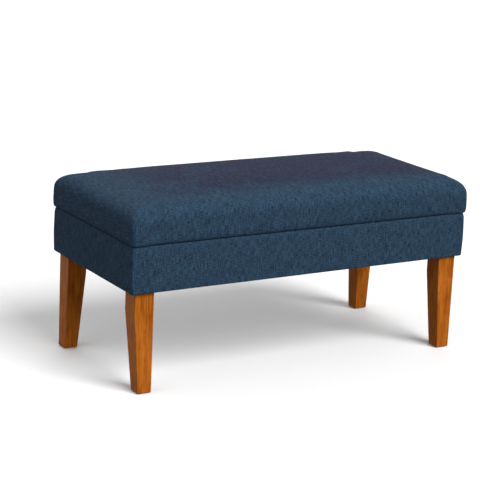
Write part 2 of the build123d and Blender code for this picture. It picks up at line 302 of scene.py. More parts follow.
def honey_stained_rubberwood():
    """Rubberwood with a honey-walnut stain under satin lacquer: straight streaky grain
    along the leg, short dark pores, and paler patches of wear."""
    material, tree, shader = new_material("honey_stained_rubberwood")
    place = add(tree, "TexCoord").outputs["Object"]
    grain_width = 5 * MM
    grain_run = 90 * MM
    pore_width = 1.2 * MM
    pore_run = 14 * MM
    patches_per_metre = 16
    streak_place = add(tree, "Mapping", {
        "Vector": place, "Scale": (1 / grain_width, 1 / grain_width, 1 / grain_run),
    })
    streak = add(tree, "TexNoise", {
        "Vector": streak_place.outputs[0], "Scale": 1, "Detail": 5, "Distortion": 0.6,
    })
    pore_place = add(tree, "Mapping", {
        "Vector": place, "Scale": (1 / pore_width, 1 / pore_width, 1 / pore_run),
    })
    pore = add(tree, "TexNoise", {"Vector": pore_place.outputs[0], "Scale": 1, "Detail": 1})
    patch = add(tree, "TexNoise", {"Vector": place, "Scale": patches_per_metre, "Detail": 3})
    band = add(tree, "MapRange", {
        "Value": streak.outputs[0], "From Min": 0.34, "From Max": 0.66,
    })
    wood = add(tree, "Mix", {
        "Factor": band.outputs[0], "A": colour("#863f0b"), "B": colour("#ae671c"),
    }, data_type="RGBA")
    rubbed_wear_and_painted_sheen = add(tree, "MapRange", {
        "Value": patch.outputs[0], "From Min": 0.45, "From Max": 0.75,
        "To Min": 0.0, "To Max": 0.5,
    })
    warm = add(tree, "Mix", {
        "Factor": rubbed_wear_and_painted_sheen.outputs[0], "A": wood.outputs["Result"], "B": colour("#c06a24"),
    }, data_type="RGBA")
    pits = add(tree, "MapRange", {
        "Value": pore.outputs[0], "From Min": 0.60, "From Max": 0.74,
        "To Min": 0.0, "To Max": 0.45,
    })
    pored = add(tree, "Mix", {
        "Factor": pits.outputs[0], "A": warm.outputs["Result"], "B": colour("#55290a"),
    }, data_type="RGBA")
    tree.links.new(pored.outputs["Result"], shader.inputs["Base Color"])
    gloss = add(tree, "MapRange", {
        "Value": streak.outputs[0], "From Min": 0.3, "From Max": 0.7,
        "To Min": 0.36, "To Max": 0.48,
    })
    tree.links.new(gloss.outputs[0], shader.inputs["Roughness"])
    relief = add(tree, "Math", {0: streak.outputs[0], 1: pits.outputs[0]}, operation="SUBTRACT")
    bump = add(tree, "Bump", {"Height": relief.outputs[0], "Strength": 0.25, "Distance": 0.3 * MM})
    tree.links.new(bump.outputs[0], shader.inputs["Normal"])
    shader.inputs["Specular IOR Level"].default_value = 0.05
    return material


def birch_plywood(axis):
    """Birch plywood, bare: pale veneer faces, and edges striped by the glued plies."""
    material, tree, shader = new_material(f"birch_plywood_{'xyz'[axis]}")
    ply = 1.5 * MM
    place = add(tree, "TexCoord").outputs["Object"]
    split = add(tree, "SeparateXYZ", {0: place})
    across = [1 / (6 * MM)] * 3
    across[0 if axis != 0 else 1] = 1 / (160 * MM)
    grain_place = add(tree, "Mapping", {"Vector": place, "Scale": across})
    grain = add(tree, "TexNoise", {"Vector": grain_place.outputs[0], "Scale": 1, "Detail": 4})
    face = add(tree, "Mix", {
        "Factor": grain.outputs[0], "A": colour("#c9a675"), "B": colour("#e2c79a"),
    }, data_type="RGBA")
    layer = add(tree, "Math", {0: split.outputs[axis], 1: math.pi / ply}, operation="MULTIPLY")
    stripe = add(tree, "Math", {0: layer.outputs[0]}, operation="SINE")
    dark = add(tree, "MapRange", {"Value": stripe.outputs[0], "From Min": -0.2, "From Max": 0.2})
    edge = add(tree, "Mix", {
        "Factor": dark.outputs[0], "A": colour("#8c6235"), "B": colour("#d9b884"),
    }, data_type="RGBA")
    normal = add(tree, "NewGeometry").outputs["True Normal"]
    facing = add(tree, "SeparateXYZ", {0: normal})
    flat = add(tree, "Math", {0: facing.outputs[axis]}, operation="ABSOLUTE")
    shown = add(tree, "Mix", {
        "Factor": flat.outputs[0], "A": edge.outputs["Result"], "B": face.outputs["Result"],
    }, data_type="RGBA")
    tree.links.new(shown.outputs["Result"], shader.inputs["Base Color"])
    bump = add(tree, "Bump", {"Height": grain.outputs[0], "Strength": 0.3, "Distance": 0.2 * MM})
    tree.links.new(bump.outputs[0], shader.inputs["Normal"])
    shader.inputs["Roughness"].default_value = 0.62
    return material


def plated_steel(name, tint, roughness, grit):
    """Zinc-plated mild steel: soft grey metal, faintly cloudy from the plating bath."""
    material, tree, shader = new_material(name)
    place = add(tree, "TexCoord").outputs["Object"]
    cloud = add(tree, "TexNoise", {"Vector": place, "Scale": 1 / (9 * MM), "Detail": 4})
    fine = add(tree, "TexNoise", {"Vector": place, "Scale": 1 / grit, "Detail": 2})
    shade = add(tree, "Mix", {
        "Factor": cloud.outputs[0], "A": colour(tint[0]), "B": colour(tint[1]),
    }, data_type="RGBA")
    tree.links.new(shade.outputs["Result"], shader.inputs["Base Color"])
    dull = add(tree, "MapRange", {
        "Value": cloud.outputs[0], "From Min": 0.3, "From Max": 0.7,
        "To Min": roughness - 0.06, "To Max": roughness + 0.08,
    })
    tree.links.new(dull.outputs[0], shader.inputs["Roughness"])
    bump = add(tree, "Bump", {"Height": fine.outputs[0], "Strength": 0.15, "Distance": 0.05 * MM})
    tree.links.new(bump.outputs[0], shader.inputs["Normal"])
    shader.inputs["Metallic"].default_value = 1.0
    return material


def spun_nonwoven(name, dark, pale, dimple):
    """Spun-bonded polypropylene: black felt-like sheet with rows of tiny bonded dimples."""
    material, tree, shader = new_material(name)
    place = add(tree, "TexCoord").outputs["Object"]
    fibre = add(tree, "TexNoise", {"Vector": place, "Scale": 1 / (1.5 * MM), "Detail": 6})
    cloud = add(tree, "TexNoise", {"Vector": place, "Scale": 1 / (45 * MM), "Detail": 2})
    waves = add(tree, "VectorMath", {
        0: place, 1: (2 * math.pi / dimple,) * 3,
    }, operation="MULTIPLY")
    bonds = add(tree, "VectorMath", {0: waves.outputs[0]}, operation="SINE")
    split = add(tree, "SeparateXYZ", {0: bonds.outputs[0]})
    first = add(tree, "Math", {0: split.outputs["X"], 1: split.outputs["Y"]}, operation="ADD")
    total = add(tree, "Math", {0: first.outputs[0], 1: split.outputs["Z"]}, operation="ADD")
    pits = add(tree, "MapRange", {"Value": total.outputs[0], "From Min": 0.9, "From Max": 1.7})
    mix = add(tree, "Math", {0: fibre.outputs[0], 1: cloud.outputs[0]}, operation="MULTIPLY")
    tone = add(tree, "MapRange", {"Value": mix.outputs[0], "From Min": 0.1, "From Max": 0.42})
    shade = add(tree, "Mix", {
        "Factor": tone.outputs[0], "A": colour(dark), "B": colour(pale),
    }, data_type="RGBA")
    pitted = add(tree, "Mix", {
        "Factor": pits.outputs[0], "A": shade.outputs["Result"], "B": colour(dark),
    }, data_type="RGBA")
    tree.links.new(pitted.outputs["Result"], shader.inputs["Base Color"])
    relief = add(tree, "Math", {0: fibre.outputs[0], 1: pits.outputs[0]}, operation="SUBTRACT")
    bump = add(tree, "Bump", {"Height": relief.outputs[0], "Strength": 0.5, "Distance": 0.3 * MM})
    tree.links.new(bump.outputs[0], shader.inputs["Normal"])
    shader.inputs["Roughness"].default_value = 0.85
    shader.inputs["Sheen Weight"].default_value = 0.1
    return material


def polyester_wadding():
    """Bonded polyester wadding: white, lofty, matt, with a faint fibre swirl."""
    material, tree, shader = new_material("polyester_wadding")
    place = add(tree, "TexCoord").outputs["Object"]
    swirl = add(tree, "TexNoise", {
        "Vector": place, "Scale": 1 / (22 * MM), "Detail": 8, "Distortion": 2.5,
    })
    shade = add(tree, "Mix", {
        "Factor": swirl.outputs[0], "A": colour("#d6d5d0"), "B": colour("#f4f3ef"),
    }, data_type="RGBA")
    tree.links.new(shade.outputs["Result"], shader.inputs["Base Color"])
    bump = add(tree, "Bump", {"Height": swirl.outputs[0], "Strength": 0.7, "Distance": 1.2 * MM})
    tree.links.new(bump.outputs[0], shader.inputs["Normal"])
    shader.inputs["Roughness"].default_value = 0.95
    shader.inputs["Sheen Weight"].default_value = 0.3
    return material


def polyurethane_foam():
    """Open-cell polyurethane foam: cream yellow, matt, pitted all over by its cells, with painted
    shade in the pits.
    """
    material, tree, shader = new_material("polyurethane_foam")
    place = add(tree, "TexCoord").outputs["Object"]
    cells = add(tree, "TexVoronoi", {"Vector": place, "Scale": 1 / (1.8 * MM)})
    cloud = add(tree, "TexNoise", {"Vector": place, "Scale": 1 / (60 * MM), "Detail": 3})
    shade = add(tree, "Mix", {
        "Factor": cloud.outputs[0], "A": colour("#dcc98b"), "B": colour("#efe2b4"),
    }, data_type="RGBA")
    # The cell pits are painted darker: painted shade in the hollows of the cells.
    cell_pit_shade = add(tree, "MapRange", {
        "Value": cells.outputs["Distance"], "From Min": 0.0, "From Max": 0.5,
        "To Min": 0.35, "To Max": 0.0,
    })
    pitted = add(tree, "Mix", {
        "Factor": cell_pit_shade.outputs[0], "A": shade.outputs["Result"], "B": colour("#a58f52"),
    }, data_type="RGBA")
    tree.links.new(pitted.outputs["Result"], shader.inputs["Base Color"])
    bump = add(tree, "Bump", {
        "Height": cells.outputs["Distance"], "Strength": 0.6, "Distance": 0.6 * MM,
    })
    tree.links.new(bump.outputs[0], shader.inputs["Normal"])
    shader.inputs["Roughness"].default_value = 0.9
    return material


def moulded_polymer(name, dark, pale, roughness, grit):
    """A small moulded rubber or nylon part: even colour, faint skin texture."""
    material, tree, shader = new_material(name)
    place = add(tree, "TexCoord").outputs["Object"]
    skin = add(tree, "TexNoise", {"Vector": place, "Scale": 1 / grit, "Detail": 3})
    shade = add(tree, "Mix", {
        "Factor": skin.outputs[0], "A": colour(dark), "B": colour(pale),
    }, data_type="RGBA")
    tree.links.new(shade.outputs["Result"], shader.inputs["Base Color"])
    bump = add(tree, "Bump", {"Height": skin.outputs[0], "Strength": 0.2, "Distance": 0.1 * MM})
    tree.links.new(bump.outputs[0], shader.inputs["Normal"])
    shader.inputs["Roughness"].default_value = roughness
    return material


def studio_floor():
    """Matt white studio floor."""
    material, tree, shader = new_material("matt_studio_floor")
    place = add(tree, "TexCoord").outputs["Object"]
    mottle = add(tree, "TexNoise", {"Vector": place, "Scale": 1.5, "Detail": 3})
    shade = add(tree, "Mix", {
        "Factor": mottle.outputs[0], "A": colour("#eeeeee"), "B": colour("#f2f2f2"),
    }, data_type="RGBA")
    tree.links.new(shade.outputs["Result"], shader.inputs["Base Color"])
    shader.inputs["Roughness"].default_value = 0.9
    shader.inputs["Specular IOR Level"].default_value = 0.1
    return material


def finish(piece, material):
    piece.data.materials.clear()
    piece.data.materials.append(material)


# ---- camera, floor and lights ----
CAMERA_AIM = Vector((-20, 18, 267)) * MM
CAMERA_AZIMUTH = math.radians(-31.85)
CAMERA_ELEVATION = math.radians(14.95)
CAMERA_ROLL = math.radians(2.75)
CAMERA_DISTANCE = 4.467
CAMERA_LENS = 118.4


def set_camera():
    """Stands the camera off to the front left, a little above the seat."""
    flat = math.cos(CAMERA_ELEVATION)
    looking = Vector((
        -math.sin(CAMERA_AZIMUTH) * flat,
        math.cos(CAMERA_AZIMUTH) * flat,
        -math.sin(CAMERA_ELEVATION),
    ))
    bpy.ops.object.camera_add(location=CAMERA_AIM - looking * CAMERA_DISTANCE)
    camera = bpy.context.object
    camera.name = "studio_camera"
    level = looking.to_track_quat("-Z", "Y")
    camera.rotation_mode = "QUATERNION"
    camera.rotation_quaternion = level @ Quaternion((0, 0, 1), CAMERA_ROLL)
    camera.data.lens = CAMERA_LENS
    bpy.context.scene.camera = camera


def set_sun(name, azimuth, elevation, spread, strength, tint):
    """A very large soft box far away, so it lights floor and bench evenly."""
    azimuth, elevation = math.radians(azimuth), math.radians(elevation)
    away = Vector((
        math.sin(azimuth) * math.cos(elevation),
        -math.cos(azimuth) * math.cos(elevation),
        math.sin(elevation),
    ))
    bpy.ops.object.light_add(type="SUN", location=away * 5)
    light = bpy.context.object
    light.name = name
    light.rotation_mode = "QUATERNION"
    light.rotation_quaternion = (-away).to_track_quat("-Z", "Y")
    light.data.angle = math.radians(spread)
    light.data.energy = strength
    light.data.color = colour(tint)[:3]


HORIZON_FADE = (0.03, 0.13)
OVERHEAD_STRENGTH = 0.15


def set_horizon():
    """White paper all round at eye height, darker overhead."""
    world = bpy.data.worlds.new("white_studio")
    world.use_nodes = True
    tree = world.node_tree
    way = add(tree, "TexCoord").outputs["Generated"]
    split = add(tree, "SeparateXYZ", {0: way})
    height = add(tree, "Math", {0: split.outputs["Z"]}, operation="ABSOLUTE")
    fade = add(tree, "MapRange", {
        "Value": height.outputs[0], "From Min": HORIZON_FADE[0], "From Max": HORIZON_FADE[1],
        "To Min": 1.0, "To Max": OVERHEAD_STRENGTH,
    }, interpolation_type="SMOOTHSTEP")
    tree.links.new(fade.outputs[0], tree.nodes["Background"].inputs["Strength"])
    tree.nodes["Background"].inputs["Color"].default_value = (1, 1, 1, 1)
    bpy.context.scene.world = world


def set_studio():
    bpy.ops.mesh.primitive_plane_add(size=80, location=(0, 0, 0))
    floor = named("studio_floor")
    finish(floor, studio_floor())
    floor.visible_diffuse = False
    set_sun("key_soft_box", 16, 41, 40, 3.9, "#ffffff")
    set_sun("left_soft_box", -84, 50, 60, 0.9, "#ffffff")
    set_sun("back_soft_box", 165, 38, 60, 1.0, "#ffffff")
    set_horizon()
    bpy.context.scene.view_settings.view_transform = "Standard"


# ---- the lid cushion ----
def lid_skin_blank():
    """The flat-cut cover as a box: a top panel with a skirt hanging straight down."""
    across = round(2 * HALF_LENGTH / CELL)
    deep = round(2 * HALF_DEPTH / CELL)
    start_clean()
    bpy.ops.mesh.primitive_grid_add(
        x_subdivisions=across, y_subdivisions=deep, size=2, location=(0, 0, 0)
    )
    skin = named("lid_cushion_cover")
    skin.scale = (HALF_LENGTH, HALF_DEPTH, 1)
    into_mesh(skin)
    above_lip = 15 * MM
    lip = 27 * MM
    side = LID_EDGE_HEIGHT - above_lip
    flap = LID_EDGE_HEIGHT + LID_TURN_UNDER - side - lip
    parts = ((side, 8), (lip, 9), (flap, 4))
    drops = [length / rows for length, rows in parts for _ in range(rows)]
    edit(skin)
    bpy.ops.mesh.select_all(action="SELECT")
    bpy.ops.mesh.region_to_loop()
    for drop in drops:
        bpy.ops.mesh.extrude_edges_move(TRANSFORM_OT_translate={"value": (0, 0, -drop)})
    bpy.ops.object.mode_set(mode="OBJECT")
    return skin


def cut_flat(skin):
    """Lays the threads: the skirt unfolds outwards from the top panel's edges."""
    mesh = skin.data
    layer = mesh.uv_layers.new(name="cloth")
    spots = points_of(skin)
    laid = np.empty((len(mesh.loops), 2))
    for face in mesh.polygons:
        sideways = face.normal
        for loop in face.loop_indices:
            x, y, z = spots[mesh.loops[loop].vertex_index]
            if abs(sideways.x) > 0.5:
                x += math.copysign(-z, sideways.x)
            elif abs(sideways.y) > 0.5:
                y += math.copysign(-z, sideways.y)
            laid[loop] = (x, y)
    layer.data.foreach_set("uv", laid.ravel())


def rounded_corner(x, y, half_x, half_y, radius):
    """Slides points of a square-cornered outline onto the one with round corners."""
    core_x = np.clip(x, -(half_x - radius), half_x - radius)
    core_y = np.clip(y, -(half_y - radius), half_y - radius)
    step_x = np.abs(x - core_x)
    step_y = np.abs(y - core_y)
    reach = np.maximum(np.maximum(step_x, step_y), 1e-9)
    quarter = np.where(step_x >= step_y, step_y / reach, 2 - step_x / reach) * math.pi / 4
    in_corner = (step_x > 1e-9) & (step_y > 1e-9)
    new_x = core_x + np.sign(x) * reach * np.cos(quarter)
    new_y = core_y + np.sign(y) * reach * np.sin(quarter)
    return np.where(in_corner, new_x, x), np.where(in_corner, new_y, y)


def cushion_shape(flat):
    """Where each point of the straight-sided blank lies on the stuffed cushion."""
    corner_growth = 0.35
    flat_start = 0.6 * LID_ROLL_WIDTH
    x, y, z = flat.T
    inside = np.minimum(HALF_LENGTH - np.abs(x), HALF_DEPTH - np.abs(y))
    skirt = z < -1e-6
    run = np.where(skirt, z, inside)
    roll = LID_ROLL_HEIGHT
    turn = np.clip((run + roll) / (2 * roll), 0, 1) * math.pi / 2
    rise = LID_EDGE_HEIGHT - roll + np.minimum(run + roll, 0) + roll * np.sin(turn)
    inset = LID_ROLL_WIDTH * (1 - np.cos(turn)) + np.maximum(run - roll, 0)
    corner = near_corner(x, y)
    low = np.clip(rise / LID_TUCK_HEIGHT, 0, 1)
    tuck = LID_BULGE + LID_TUCK * (1 - corner)
    inset = inset + tuck * (1 - np.sqrt(low * (2 - low))) - LID_BULGE
    under = np.maximum(-(run + LID_EDGE_HEIGHT), 0)
    inset = inset + under
    lip = LID_LIP * (1 - low) ** 2 * (1 - smooth_step(under / LID_LIP_WIDTH))
    hinge_side = smooth_step((y - HALF_DEPTH + 40 * MM) / (20 * MM))
    hinge_side *= smooth_step((HINGE_REACH - np.abs(x)) / (15 * MM))
    rise = np.maximum(rise, 0) - lip * (1 - hinge_side)
    side_x = HALF_LENGTH - inset
    side_y = HALF_DEPTH - inset
    old_x = np.where(skirt, HALF_LENGTH, HALF_LENGTH - inside)
    old_y = np.where(skirt, HALF_DEPTH, HALF_DEPTH - inside)
    new_x = x * side_x / old_x
    new_y = y * side_y / old_y
    foot = smooth_step(-run / LID_EDGE_HEIGHT)
    radius = LID_CORNER_RADIUS + (LID_FOOT_RADIUS - LID_CORNER_RADIUS) * foot
    radius = np.clip(radius + corner_growth * np.maximum(run, 0), 0, side_y * 0.9)
    new_x, new_y = rounded_corner(new_x, new_y, side_x, side_y, radius)
    flat_x = HALF_LENGTH - flat_start
    flat_y = HALF_DEPTH - flat_start
    along = 1 - np.clip(np.abs(new_x) / flat_x, 0, 1) ** LID_CROWN_POWERS[0]
    over = 1 - np.clip(np.abs(new_y) / flat_y, 0, 1) ** LID_CROWN_POWERS[1]
    crown = np.where(run > 0, LID_CROWN * along * over, 0)
    return np.stack([new_x, new_y, lid_low.z + rise + crown], axis=1)


def near_corner(x, y):
    """1 at the cushion's upright corners, falling to 0 a hand's width away."""
    hand = 75 * MM
    away = np.hypot(HALF_LENGTH - np.abs(x), HALF_DEPTH - np.abs(y))
    return 1 - smooth_step(away / hand)


def soft_waver(points, size, amount, seed):
    """Slow smooth unevenness, the same every time: a sum of slanting waves."""
    waves = 10
    draw = np.random.default_rng(seed)
    total = np.zeros(len(points))
    for _ in range(waves):
        way = draw.normal(size=3)
        way *= 2 * math.pi / (size * draw.uniform(0.7, 1.6) * np.linalg.norm(way))
        total += np.sin(points @ way + draw.uniform(0, 2 * math.pi))
    return amount * total / waves


def blow_up(skin, held):
    """Lets the cloth swell over its stuffing, held where it is stapled down. It would swell
    far past the cap nearly everywhere, so what is left is close to an even swell."""
    start = points_of(skin)
    group = skin.vertex_groups.new(name="stapled")
    for index in np.flatnonzero(held):
        group.add([int(index)], 1.0, "REPLACE")
    take_up(skin)
    cloth = skin.modifiers.new("Cloth", "CLOTH")
    for key, value in (
        ("vertex_group_mass", "stapled"), ("quality", 6), ("mass", 0.3),
        ("tension_stiffness", 25), ("compression_stiffness", 10), ("shear_stiffness", 8),
        ("bending_stiffness", 2), ("use_pressure", True), ("uniform_pressure_force", 4),
    ):
        setattr(cloth.settings, key, value)
    cloth.settings.effector_weights.gravity = 0
    cloth.point_cache.frame_start = 1
    cloth.point_cache.frame_end = SWELL_FRAMES
    for step in range(1, SWELL_FRAMES + 1):
        bpy.context.scene.frame_set(step)
    bpy.ops.object.modifier_apply(modifier=cloth.name)
    bpy.context.scene.frame_set(1)
    skin.vertex_groups.clear()
    move = points_of(skin) - start
    normals = normals_of(skin)
    outward = (move * normals).sum(axis=1)
    move += normals * (np.maximum(outward, 0) - outward)[:, None]
    far = np.linalg.norm(move, axis=1)
    kept = SWELL_CAP * np.tanh(far / SWELL_CAP) / np.maximum(far, 1e-9)
    put_points(skin, start + move * kept[:, None])


def lid_cushion():
    """The cover, the wadding below it and the foam inside, each fitted to the next."""
    skin = lid_skin_blank()
    cut_flat(skin)
    blank = points_of(skin)
    put_points(skin, cushion_shape(blank))
    stapled = blank[:, 2] < -(LID_EDGE_HEIGHT - 5 * MM)
    blow_up(skin, stapled)
    smooth(skin)
    spots = points_of(skin)
    normals = normals_of(skin)
    loose = smooth_step((blank[:, 2] + LID_EDGE_HEIGHT) / (25 * MM))
    waver = soft_waver(spots, 190 * MM, 0.6 * MM, 3) * loose
    put_points(skin, spots + normals * waver[:, None])
    inner = copy_of(skin, "lid_cushion_wadding")
    foam = copy_of(skin, "lid_cushion_foam")
    fit_wadding(inner)
    fit_foam(foam)
    add_modifier(skin, "SUBSURF", levels=1, render_levels=1)
    return skin


def sunk(piece, depth):
    """Draws a skin inwards by depth along its own normals."""
    normals = normals_of(piece)
    put_points(piece, points_of(piece) - normals * depth)


def fit_wadding(wadding):
    """A lofty layer from the lid's top down past the edge of the board."""
    keep_faces(wadding, lambda c: c.z > lid_low.z + 4 * MM)
    sunk(wadding, 1.6 * MM)
    waver = soft_waver(points_of(wadding), 60 * MM, 0.35 * MM, 8)
    normals = normals_of(wadding)
    put_points(wadding, points_of(wadding) - normals * (0.4 * MM + waver)[:, None])
    add_modifier(wadding, "SOLIDIFY", thickness=3.5 * MM, offset=-1)
    finish(wadding, materials["wadding"])
    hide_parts("lid_batting")
    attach(wadding, "lid")


def fit_foam(foam):
    """The foam block: the cushion's shape below the wadding, cut flat on the board."""
    keep_faces(foam, lambda c: c.z > board_high.z + 6 * MM)
    sunk(foam, 6.2 * MM)
    edit(foam)
    bpy.ops.mesh.select_all(action="SELECT")
    bpy.ops.mesh.region_to_loop()
    bpy.ops.mesh.extrude_edges_move(TRANSFORM_OT_translate={"value": (0, 0, -4 * MM)})
    bpy.ops.object.mode_set(mode="OBJECT")
    spots = points_of(foam)
    rim = np.array([v.select for v in foam.data.vertices])
    spots[rim, 2] = board_high.z + 0.3 * MM
    put_points(foam, spots)
    edit(foam)
    bpy.ops.mesh.edge_face_add()
    bpy.ops.object.mode_set(mode="OBJECT")
    finish(foam, materials["foam"])
    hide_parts("lid_foam")
    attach(foam, "lid")


def finish_lid_cover(skin):
    """Gives the cover its thickness, its cloth and its place on the lid."""
    add_modifier(skin, "SOLIDIFY", thickness=CLOTH_THICKNESS, offset=-1)
    finish(skin, materials["cloth"])
    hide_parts("lid_cover")
    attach(skin, "lid")


# ---- the box's upholstery ----
def rounded_outline(name, cells, radius, height):
    """A ring of edges round the bench's outline, its four corners rounded."""
    start_clean()
    bpy.ops.mesh.primitive_plane_add(size=2, location=(0, 0, 0))
    ring = named(name)
    ring.scale = (HALF_LENGTH, HALF_DEPTH, 1)
    ring.location = (0, 0, height)
    into_mesh(ring)
    edit(ring)
    bpy.ops.mesh.select_all(action="SELECT")
    bpy.ops.mesh.bevel(affect="VERTICES", offset=radius, segments=4)
    bpy.ops.mesh.select_all(action="SELECT")
    bpy.ops.mesh.delete(type="ONLY_FACE")
    bpy.ops.object.mode_set(mode="OBJECT")
    for axis, half in ((0, HALF_LENGTH), (1, HALF_DEPTH)):
        start_clean()
        ends = points_of(ring)
        for vertex in ring.data.vertices:
            vertex.select = False
        for edge in ring.data.edges:
            a, b = edge.vertices
            edge.select = bool(abs(ends[a][axis] - ends[b][axis]) > half)
        edit(ring, "EDGE")
        bpy.ops.mesh.subdivide(number_cuts=round(2 * half / cells) - 1)
        bpy.ops.object.mode_set(mode="OBJECT")
    return ring


def swept_band(name, profile, cells=10 * MM, radius=5 * MM, closed=False):
    """Sweeps a profile, listed as (outside the bench's outline, height), round the bench."""
    ring = rounded_outline(name, cells, radius, profile[0][1])
    count = len(ring.data.vertices)
    now = [HALF_LENGTH, HALF_DEPTH, profile[0][1]]
    edit(ring, "EDGE")
    bpy.ops.mesh.select_all(action="SELECT")
    for step, (out, height) in enumerate(profile):
        if step:
            lift = {"value": (0, 0, height - now[2])}
            bpy.ops.mesh.extrude_edges_move(TRANSFORM_OT_translate=lift)
        grow = ((HALF_LENGTH + out) / now[0], (HALF_DEPTH + out) / now[1], 1)
        bpy.ops.transform.resize(value=grow, center_override=(0, 0, height))
        now = [HALF_LENGTH + out, HALF_DEPTH + out, height]
    if not closed:
        bpy.ops.object.mode_set(mode="OBJECT")
        lay_threads(ring, profile, count)
        return ring
    bpy.ops.mesh.select_all(action="SELECT")
    bpy.ops.mesh.remove_doubles(threshold=0.05 * MM)
    bpy.ops.mesh.normals_make_consistent(inside=False)
    bpy.ops.object.mode_set(mode="OBJECT")
    return ring


def lay_threads(band, profile, count):
    """Gives the cloth its own flat place: round the bench, and along the profile."""
    long_shift = 1.3  # the four walls lie apart on the cloth, so no two show the same yarns
    end_shift = 3.1
    runs = [0.0]
    for (out_a, up_a), (out_b, up_b) in zip(profile, profile[1:]):
        runs.append(runs[-1] + math.hypot(out_b - out_a, up_b - up_a))
    mesh = band.data
    layer = mesh.uv_layers.new(name="cloth")
    spots = points_of(band)
    laid = np.empty((len(mesh.loops), 2))
    for face in mesh.polygons:
        middle = face.center
        front = HALF_DEPTH - abs(middle.y) < HALF_LENGTH - abs(middle.x)
        for loop in face.loop_indices:
            index = mesh.loops[loop].vertex_index
            x, y, _ = spots[index]
            if front:
                around = x + math.copysign(long_shift, middle.y)
            else:
                around = y + math.copysign(end_shift, middle.x)
            laid[loop] = (around, runs[index // count])
    layer.data.foreach_set("uv", laid.ravel())


def turn_faces(piece, outwards=True):
    """Makes the upright faces of an open band look away from the middle, or at it."""
    score = 0.0
    for face in piece.data.polygons:
        away = Vector((face.center.x / HALF_LENGTH, face.center.y / HALF_DEPTH, 0))
        if abs(face.normal.z) < 0.5:
            side = max(abs(away.x), abs(away.y))
            way = Vector([a if abs(a) == side else 0 for a in (away.x, away.y)] + [0])
            score += way.dot(face.normal) * face.area
    if (score > 0) != outwards:
        flip(piece)


def arc(out, height, radius, first, last, steps=4):
    """Points round a small arc about (out, height); 0 degrees points outwards."""
    turns = [math.radians(first + (last - first) * i / steps) for i in range(steps + 1)]
    return [(out + radius * math.cos(t), height + radius * math.sin(t)) for t in turns]


def box_profile():
    """From inside the rim, over it, down the outside, and under the floor."""
    inner = -(HALF_LENGTH - lining_high.x + CLOTH_THICKNESS)
    top = box_high.z
    foot = box_low.z - BOX_FOOT_DROP
    profile = [(inner, lining_high.z + i * 5 * MM) for i in range(4)]
    profile += arc(inner + BOX_INNER_RADIUS, top - BOX_INNER_RADIUS, BOX_INNER_RADIUS, 180, 90, 3)
    profile += [
        (-BOX_RIM_INSET * (1 - math.cos(turn)), top - BOX_RIM_DROP * (1 - math.sin(turn)))
        for turn in (math.radians(90 - 10 * i) for i in range(10))
    ]
    rows = 9
    start = top - BOX_RIM_DROP
    tall = start - foot - BOX_FOOT_RADIUS
    for i in range(1, rows):
        profile.append((BOX_PUFF * math.sin(math.pi * i / rows), start - tall * i / rows))
    profile += arc(-BOX_FOOT_RADIUS, foot + BOX_FOOT_RADIUS, BOX_FOOT_RADIUS, 0, -90)
    profile += [(-BOX_TURN_UNDER * share, foot) for share in (0.3, 0.5, 0.7, 0.9, 1.0)]
    return profile


def waver_band(band, size, amount, seed, low, high):
    """Slight unevenness on the part of a band between two heights."""
    spots = points_of(band)
    normals = normals_of(band)
    fade = 12 * MM
    middle = (low + high) / 2
    share = smooth_step((high - low) / 2 / fade - np.abs(spots[:, 2] - middle) / fade)
    move = soft_waver(spots, size, amount, seed) * share
    put_points(band, spots + normals * move[:, None])


def box_upholstery():
    """The cloth round the box, over its rim and turned under its floor."""
    profile = box_profile()
    skin = swept_band("box_upholstery", profile)
    turn_faces(skin)
    waver_band(skin, 120 * MM, 0.7 * MM, 21, box_low.z, box_high.z)
    smooth(skin)
    add_modifier(skin, "SUBSURF", levels=1, render_levels=1)
    add_modifier(skin, "SOLIDIFY", thickness=0.9 * MM, offset=-1)
    finish(skin, materials["cloth"])
    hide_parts("base_cover")
    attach(skin, "base")


def box_wadding():
    """A strip of wadding between the plywood walls and the cloth."""
    low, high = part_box("base_batting")
    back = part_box("right_panel")[1].x - HALF_LENGTH
    face = -1.3 * MM
    top = high.z - 0.4 * MM
    foot = low.z + 0.4 * MM
    bend = 3.6 * MM
    lap = 0.6 * MM
    rim_top = top - 0.8 * MM
    rim_drop = BOX_RIM_DROP - 2 * MM
    rows = 12
    profile = [(back, foot + (top - foot) * i / rows) for i in range(rows + 1)]
    profile += [
        (
            back + lap + (face - back - lap) * math.cos(turn),
            rim_top - rim_drop * (1 - math.sin(turn)),
        )
        for turn in (math.radians(90 - 15 * i) for i in range(7))
    ]
    lower = rim_top - rim_drop
    profile += [
        (
            face + BOX_PUFF * 0.7 * math.sin(math.pi * i / rows),
            lower - (lower - foot - bend) * i / rows,
        )
        for i in range(1, rows)
    ]
    profile += arc(face - bend, foot + bend, bend, 0, -90, 3)
    profile.append(profile[0])
    strip = swept_band("box_wadding", profile, closed=True)
    outer = points_of(strip)
    reach = np.maximum(np.abs(outer[:, 0]) - HALF_LENGTH, np.abs(outer[:, 1]) - HALF_DEPTH)
    outside = smooth_step((reach - back) / (3 * MM))
    normals = normals_of(strip)
    waver = soft_waver(outer, 40 * MM, 0.5 * MM, 5) * outside
    put_points(strip, outer + normals * waver[:, None])
    smooth(strip)
    finish(strip, materials["wadding"])
    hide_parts("base_batting")
    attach(strip, "base")


